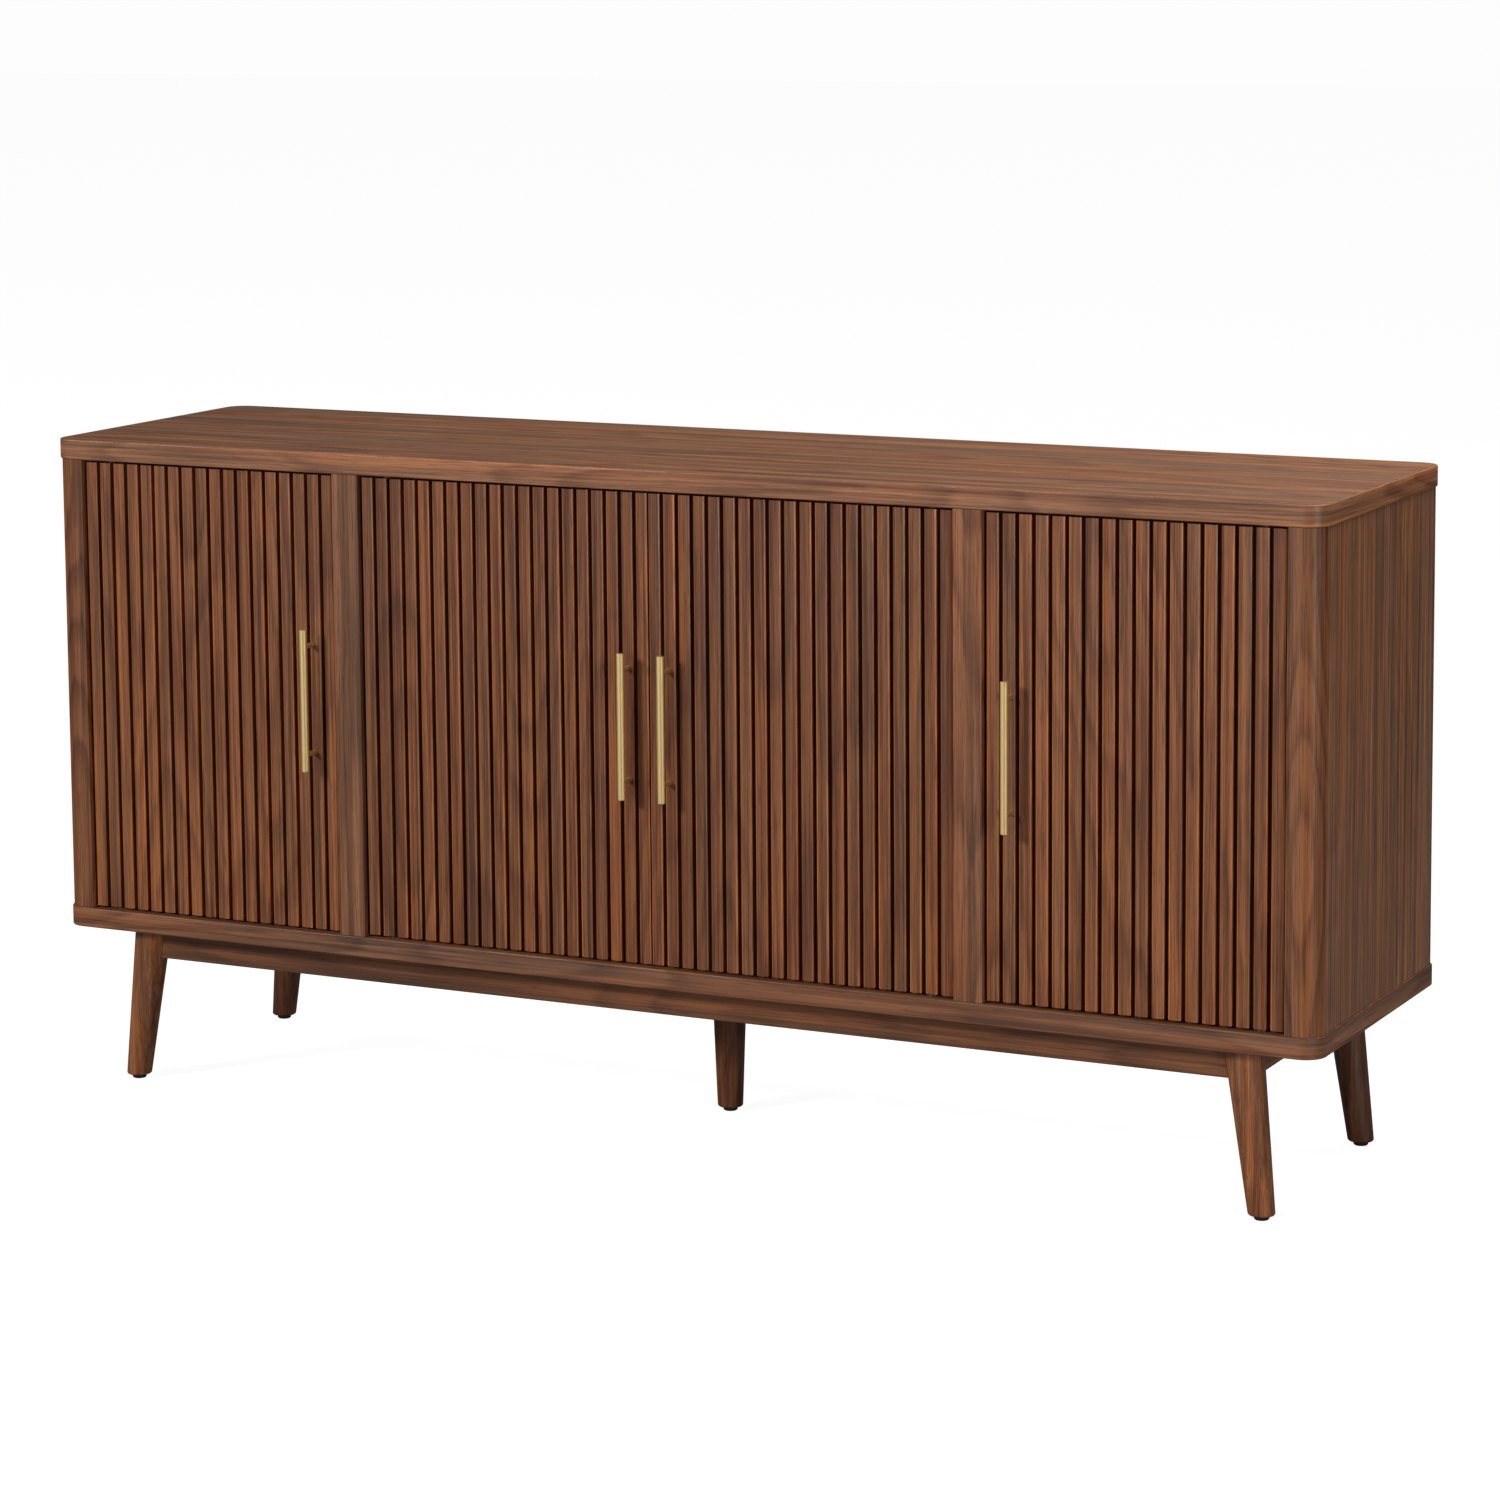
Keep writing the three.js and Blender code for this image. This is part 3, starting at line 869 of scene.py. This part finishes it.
# The aprons and the brace take the darker wood with painted shade
for node, material in [
    ("front_apron", walnutUnderShadeX),
    ("rear_apron", walnutUnderShadeX),
    ("left_apron", walnutUnderShadeY),
    ("right_apron", walnutUnderShadeY),
]:
    bm = bmesh.new()
    addBlock(bm, *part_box(node))
    bevelEdges(bm, list(bm.edges), legLook["apronEase"], 2)
    board = rng.random()
    markBoards(bm, lambda face: board)
    rail = meshObject(node + "_wood", bm, material)
    fit, overrun = legLook["apronFit"], legLook["apronOverrun"]
    cuts = [meshObject("leg", legShape(leg, fit, overrun)) for leg in cornerLegs]
    combine(rail, "DIFFERENCE", cuts)
    addPiece(rail, "case", "walnut", node)
boardPiece("middle_brace", walnutUnderShadeY, "walnut", rng.random(), legLook["braceEase"])
print("legs ready")


# Small hardware inside: catches, strike plates, shelf pins, back screws

hardwareLook = {
    "catchEase": 0.0008,
    "magnet": (0.012, 0.0008, 0.006),
    "magnetShift": 0.009,
    "magnetEase": 0.0002,
    "plate": (0.034, 0.0008, 0.010),
    "plateEase": 0.0001,
    "proud": 0.0001,
    "shelfPin": 0.0025,
    "shelfPinLength": 0.009,
    "shelfPinInset": 0.04,
    "shelfPinSegments": 20,
    "shelfPinEase": 0.0005,
    "backScrew": 0.0036,
    "backScrewHeight": 0.0016,
    "backScrews": 7,  # along each long edge
    "backScrewInset": (0.02, 0.012),
}

for bay, magnets, doors in [
    ("left", [0], ["left_door"]),
    ("middle", [-1, 1], ["middle_left_door", "middle_right_door"]),
    ("right", [0], ["right_door"]),
]:
    look = hardwareLook
    low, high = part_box(bay + "_catch")
    bm = bmesh.new()
    addBlock(bm, low, high)
    bevelEdges(bm, list(bm.edges), look["catchEase"], 2)
    block = meshObject(bay + "_catch_block", bm, blackPlastic)
    addPiece(block, "case", "black_plastic", bay + "_catch")
    for magnet, door in zip(magnets, doors):
        x = (low.x + high.x) / 2 + magnet * (high.x - low.x) / 4
        z = (low.z + high.z) / 2
        w, d, h = look["magnet"]
        face = low.y - look["proud"]
        for shift in (-look["magnetShift"], look["magnetShift"]):
            bm = bmesh.new()
            left, right = x + shift - w / 2, x + shift + w / 2
            addBlock(bm, (left, face, z - h / 2), (right, face + d, z + h / 2))
            bevelEdges(bm, list(bm.edges), look["magnetEase"], 1)
            label = "inner" if shift * (x or 1) < 0 else "outer"
            addPiece(meshObject(f"{door}_magnet_{label}", bm, steel), "case", "steel")
        w, d, h = look["plate"]
        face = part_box(door + "_board")[1].y + look["proud"]
        bm = bmesh.new()
        addBlock(bm, (x - w / 2, face - d, z - h / 2), (x + w / 2, face, z + h / 2))
        bevelEdges(bm, list(bm.edges), look["plateEase"], 1)
        addPiece(meshObject(door + "_strike", bm, steel), door, "steel")


def shelfPins(bay, leftWall, rightWall):
    look = hardwareLook
    low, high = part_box(bay + "_shelf")
    radius, length, inset = look["shelfPin"], look["shelfPinLength"], look["shelfPinInset"]
    z = low.z - radius
    for label, x, inward in [("left", leftWall, 1), ("right", rightWall, -1)]:
        for place, y in [("front", low.y + inset), ("rear", high.y - inset)]:
            bm = bmesh.new()
            addRod(bm, (x, y, z), (x + inward * length, y, z), radius, look["shelfPinSegments"])
            bevelEdges(bm, sharpEdges(bm), look["shelfPinEase"], 2)
            addPiece(meshObject(f"{bay}_shelf_pin_{label}_{place}", bm, steel), "case", "steel")


leftDivider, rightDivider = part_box("left_divider"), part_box("right_divider")
shelfPins("left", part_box("left_side_panel")[1].x, leftDivider[0].x)
shelfPins("middle", leftDivider[1].x, rightDivider[0].x)
shelfPins("right", rightDivider[1].x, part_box("right_side_panel")[0].x)

look = hardwareLook
low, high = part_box("back_panel")
insetX, insetZ = look["backScrewInset"]
gaps = look["backScrews"] - 1
across = [low.x + insetX + i * (high.x - low.x - 2 * insetX) / gaps for i in range(gaps + 1)]
spots = [(x, z) for x in across for z in (low.z + insetZ, high.z - insetZ)]
spots += [(x, (low.z + high.z) / 2) for x in (across[0], across[-1])]
for i, (x, z) in enumerate(spots):
    name, centre = f"back_screw_{i + 1}", (x, high.y, z)
    head = panHead(name, centre, (0, 1, 0), look["backScrew"], look["backScrewHeight"])
    addPiece(head, "case", "steel")
print("hardware ready")


# Floor, background and lights

stageLook = {
    "floor": 0.22,
    "floorSize": 30,
    "floorRoughness": 0.9,
    "mottle": 0.004,
    "mottleScale": 3.0,
    "floorGlow": 0.95,  # seen by the camera only
    "backdrop": 0.98,
    "ambient": 0.06,
    "reflected": 0.10,
}
lightLook = {
    "key": {"place": (-7.0, -10.5, 6.0), "size": 2.8, "power": 1030.0},
    "front": {"place": (-0.4, -5.2, 1.0), "size": 2.0, "power": 22.0},
    "side": {"place": (4.4, -2.1, 0.9), "size": 1.3, "power": 44.0},
    "overhead": {"place": (1.0, 0.5, 2.7), "size": 1.8, "power": 52.0},
}
lightTarget = Vector((0, 0, 0.42))


def makeFloor(look):
    bm = bmesh.new()
    bmesh.ops.create_grid(bm, x_segments=1, y_segments=1, size=look["floorSize"])
    material, tree, shader = newMaterial("floorPaint")
    coords = addNode(tree, "ShaderNodeTexCoord").outputs["Object"]
    inputs = {"Vector": coords, "Scale": look["mottleScale"], "Detail": 2.0}
    mottle = addNode(tree, "ShaderNodeTexNoise", inputs).outputs["Fac"]
    shade = look["floor"]
    mottled = ramp(tree, mottle, [(0.3, shade - look["mottle"]), (0.7, shade)])
    tree.links.new(mottled, shader.inputs["Base Color"])
    shader.inputs["Roughness"].default_value = look["floorRoughness"]
    seen = addNode(tree, "ShaderNodeLightPath").outputs["Is Camera Ray"]
    shader.inputs["Emission Color"].default_value = (1, 1, 1, 1)
    tree.links.new(maths(tree, "MULTIPLY", seen, look["floorGlow"]), shader.inputs["Emission Strength"])
    floor = meshObject("floor", bm, material)


def makeBackground(look):
    world = bpy.data.worlds.new("studio")
    scene.world = world
    world.use_nodes = True
    tree = world.node_tree
    tree.nodes.clear()
    rays = addNode(tree, "ShaderNodeLightPath").outputs
    glossy = remap(tree, rays["Is Glossy Ray"], 0.0, 1.0, look["ambient"], look["reflected"])
    strength = remap(tree, rays["Is Camera Ray"], 0.0, 1.0, glossy, look["backdrop"])
    background = addNode(tree, "ShaderNodeBackground", {"Color": (1, 1, 1, 1), "Strength": strength})
    addNode(tree, "ShaderNodeOutputWorld", {"Surface": background.outputs[0]})


def makeLight(name, look):
    data = bpy.data.lights.new(name, "AREA")
    data.shape = "DISK"
    data.size = look["size"]
    data.energy = look["power"]
    light = bpy.data.objects.new(name, data)
    place = Vector(look["place"])
    turn = (lightTarget - place).to_track_quat("-Z", "Y").to_matrix().to_4x4()
    light.matrix_world = Matrix.Translation(place) @ turn
    scene.collection.objects.link(light)


makeFloor(stageLook)
makeBackground(stageLook)
for name, look in lightLook.items():
    makeLight(name, look)
scene.view_settings.view_transform = "Standard"
print("lights ready")
